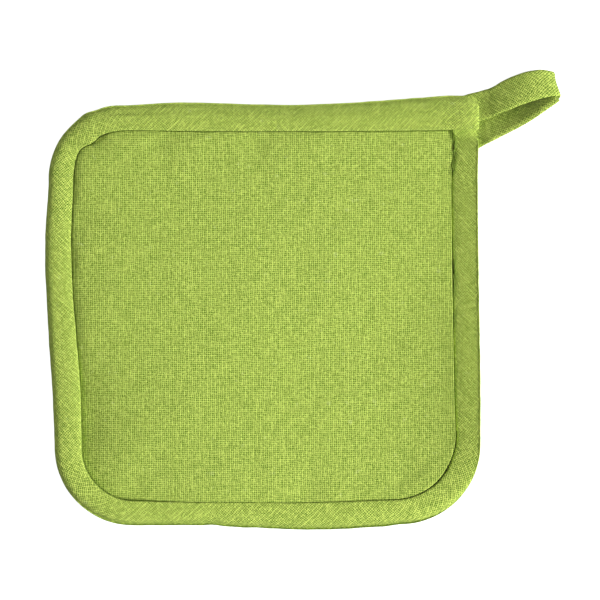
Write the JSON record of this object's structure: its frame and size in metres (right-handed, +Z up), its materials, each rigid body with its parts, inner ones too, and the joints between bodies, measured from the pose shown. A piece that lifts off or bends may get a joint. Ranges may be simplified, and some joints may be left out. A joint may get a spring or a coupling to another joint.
{
  "type": "pot holder",
  "caption": "Square wadded cotton pot holder lying flat, with a folded bias binding round its edge and a tape loop at one corner to hang it by.",
  "frame": {"origin": "middle of the pad's flat underside, on the surface that the holder lies on", "axes": "+Z up out of the front panel, +Y towards the top edge, +X towards the side whose upper corner carries the loop"},
  "size_m": [0.2376, 0.2121, 0.0109],
  "materials": {
    "panel_cotton": "matt lime green plain weave, cut with the grain",
    "bias_cotton": "matt lime green plain weave, cut on the bias",
    "tape_cotton": "matt lime green plain weave, folded and sewn into a tape"
  },
  "bodies": {
    "root": {"pad": "panel_cotton", "binding": "bias_cotton", "hanging_loop": "tape_cotton"}
  },
  "joints": []
}
